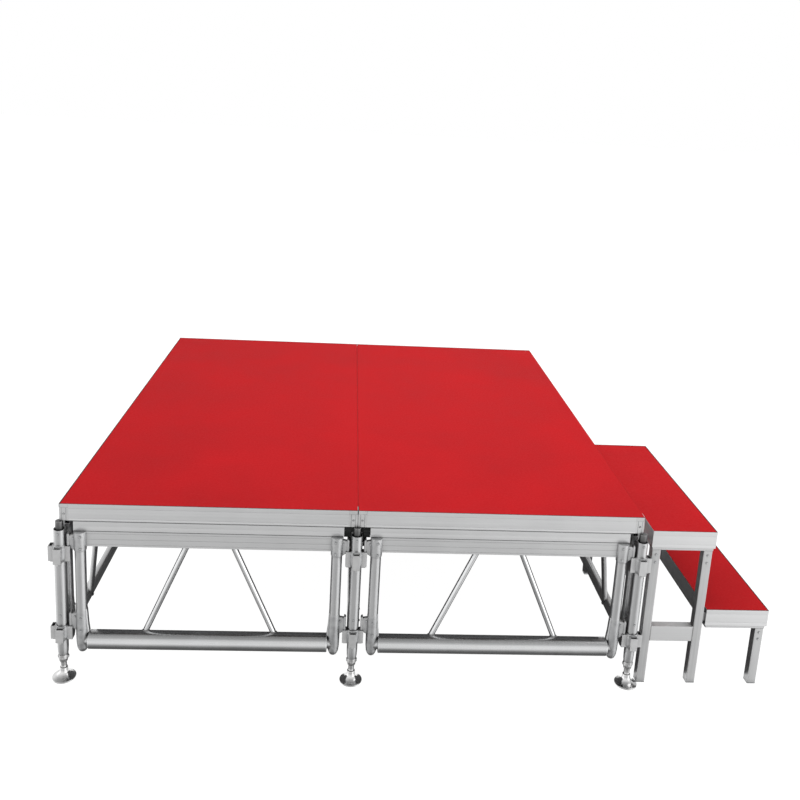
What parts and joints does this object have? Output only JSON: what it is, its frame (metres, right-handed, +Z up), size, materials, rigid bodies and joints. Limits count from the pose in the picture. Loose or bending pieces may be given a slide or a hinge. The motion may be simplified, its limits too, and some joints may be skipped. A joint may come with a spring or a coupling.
{
  "type": "stage riser platform",
  "caption": "Portable stage platform: red deck panels on aluminium truss frames hooked to tubular legs with screw jack feet, and a free-standing side stair.",
  "frame": {"origin": "middle of the footprint of the stage and its stair, on the floor", "axes": "+Z up; +X from the stage towards the stair; -Y is the front, where the stair is flush with the stage"},
  "size_m": [3.094, 2.5366, 0.8],
  "materials": {
    "mill_aluminium": "satin",
    "cast_steel": "satin",
    "foot_chrome": "polished",
    "red_board": "matte",
    "grey_cap": "matte"
  },
  "bodies": {
    "substructure": {"leg_front_left_post": "mill_aluminium", "leg_front_middle_post": "mill_aluminium", "leg_front_right_post": "mill_aluminium", "leg_back_left_post": "mill_aluminium", "leg_back_middle_post": "mill_aluminium", "leg_back_right_post": "mill_aluminium", "frame_front_left": "mill_aluminium", "frame_front_right": "mill_aluminium", "frame_back_left": "mill_aluminium", "frame_back_right": "mill_aluminium", "frame_side_left": "mill_aluminium", "frame_side_middle": "mill_aluminium", "frame_side_right": "mill_aluminium"},
    "jack_nut_front_left": {"leg_front_left_jack_nut": "cast_steel"},
    "jack_foot_front_left": {"leg_front_left_spindle": "cast_steel", "leg_front_left_foot": "foot_chrome"},
    "jack_nut_front_middle": {"leg_front_middle_jack_nut": "cast_steel"},
    "jack_foot_front_middle": {"leg_front_middle_spindle": "cast_steel", "leg_front_middle_foot": "foot_chrome"},
    "jack_nut_front_right": {"leg_front_right_jack_nut": "cast_steel"},
    "jack_foot_front_right": {"leg_front_right_spindle": "cast_steel", "leg_front_right_foot": "foot_chrome"},
    "jack_nut_back_left": {"leg_back_left_jack_nut": "cast_steel"},
    "jack_foot_back_left": {"leg_back_left_spindle": "cast_steel", "leg_back_left_foot": "foot_chrome"},
    "jack_nut_back_middle": {"leg_back_middle_jack_nut": "cast_steel"},
    "jack_foot_back_middle": {"leg_back_middle_spindle": "cast_steel", "leg_back_middle_foot": "foot_chrome"},
    "jack_nut_back_right": {"leg_back_right_jack_nut": "cast_steel"},
    "jack_foot_back_right": {"leg_back_right_spindle": "cast_steel", "leg_back_right_foot": "foot_chrome"},
    "deck_left": {"deck_left_board": "red_board", "deck_left_front_edge": "mill_aluminium", "deck_left_back_edge": "mill_aluminium", "deck_left_left_edge": "mill_aluminium", "deck_left_right_edge": "mill_aluminium", "deck_left_beam_1": "mill_aluminium", "deck_left_beam_2": "mill_aluminium"},
    "deck_right": {"deck_right_board": "red_board", "deck_right_front_edge": "mill_aluminium", "deck_right_back_edge": "mill_aluminium", "deck_right_left_edge": "mill_aluminium", "deck_right_right_edge": "mill_aluminium", "deck_right_beam_1": "mill_aluminium", "deck_right_beam_2": "mill_aluminium"},
    "stair": {"stair_upper_tread_frame": "mill_aluminium", "stair_upper_tread_board": "red_board", "stair_lower_tread_frame": "mill_aluminium", "stair_lower_tread_board": "red_board", "stair_upper_legs_front": "mill_aluminium", "stair_lower_leg_front": "mill_aluminium", "stair_cap_inner_front": "grey_cap", "stair_cap_outer_front": "grey_cap", "stair_cap_lower_front": "grey_cap", "stair_upper_legs_back": "mill_aluminium", "stair_lower_leg_back": "mill_aluminium", "stair_cap_inner_back": "grey_cap", "stair_cap_outer_back": "grey_cap", "stair_cap_lower_back": "grey_cap"}
  },
  "joints": [
    {"name": "jack_turn_front_left", "type": "hinge", "parent": "substructure", "child": "jack_nut_front_left", "pos_m": [-1.498, -1.22, 0.095], "axis": [0, 0, 1], "range_deg": [0, 7200]},
    {"name": "jack_travel_front_left", "type": "slide", "parent": "substructure", "child": "jack_foot_front_left", "axis": [0, 0, -1], "range_m": [0, 0.12]},
    {"name": "jack_turn_front_middle", "type": "hinge", "parent": "substructure", "child": "jack_nut_front_middle", "pos_m": [-0.278, -1.22, 0.095], "axis": [0, 0, 1], "range_deg": [0, 7200]},
    {"name": "jack_travel_front_middle", "type": "slide", "parent": "substructure", "child": "jack_foot_front_middle", "axis": [0, 0, -1], "range_m": [0, 0.12]},
    {"name": "jack_turn_front_right", "type": "hinge", "parent": "substructure", "child": "jack_nut_front_right", "pos_m": [0.942, -1.22, 0.095], "axis": [0, 0, 1], "range_deg": [0, 7200]},
    {"name": "jack_travel_front_right", "type": "slide", "parent": "substructure", "child": "jack_foot_front_right", "axis": [0, 0, -1], "range_m": [0, 0.12]},
    {"name": "jack_turn_back_left", "type": "hinge", "parent": "substructure", "child": "jack_nut_back_left", "pos_m": [-1.498, 1.22, 0.095], "axis": [0, 0, 1], "range_deg": [0, 7200]},
    {"name": "jack_travel_back_left", "type": "slide", "parent": "substructure", "child": "jack_foot_back_left", "axis": [0, 0, -1], "range_m": [0, 0.12]},
    {"name": "jack_turn_back_middle", "type": "hinge", "parent": "substructure", "child": "jack_nut_back_middle", "pos_m": [-0.278, 1.22, 0.095], "axis": [0, 0, 1], "range_deg": [0, 7200]},
    {"name": "jack_travel_back_middle", "type": "slide", "parent": "substructure", "child": "jack_foot_back_middle", "axis": [0, 0, -1], "range_m": [0, 0.12]},
    {"name": "jack_turn_back_right", "type": "hinge", "parent": "substructure", "child": "jack_nut_back_right", "pos_m": [0.942, 1.22, 0.095], "axis": [0, 0, 1], "range_deg": [0, 7200]},
    {"name": "jack_travel_back_right", "type": "slide", "parent": "substructure", "child": "jack_foot_back_right", "axis": [0, 0, -1], "range_m": [0, 0.12]},
    {"name": "deck_left_lift", "type": "slide", "parent": "substructure", "child": "deck_left", "axis": [0, 0, 1], "range_m": [0, 0.2]},
    {"name": "deck_right_lift", "type": "slide", "parent": "substructure", "child": "deck_right", "axis": [0, 0, 1], "range_m": [0, 0.2]},
    {"name": "stair_pull_away", "type": "slide", "parent": "substructure", "child": "stair", "axis": [1, 0, 0], "range_m": [0, 0.3]}
  ],
  "couplings": [
    {"joint": "jack_turn_front_left", "follows": "jack_travel_front_left", "rad_per_m": 1047.2},
    {"joint": "jack_turn_front_middle", "follows": "jack_travel_front_middle", "rad_per_m": 1047.2},
    {"joint": "jack_turn_front_right", "follows": "jack_travel_front_right", "rad_per_m": 1047.2},
    {"joint": "jack_turn_back_left", "follows": "jack_travel_back_left", "rad_per_m": 1047.2},
    {"joint": "jack_turn_back_middle", "follows": "jack_travel_back_middle", "rad_per_m": 1047.2},
    {"joint": "jack_turn_back_right", "follows": "jack_travel_back_right", "rad_per_m": 1047.2}
  ]
}
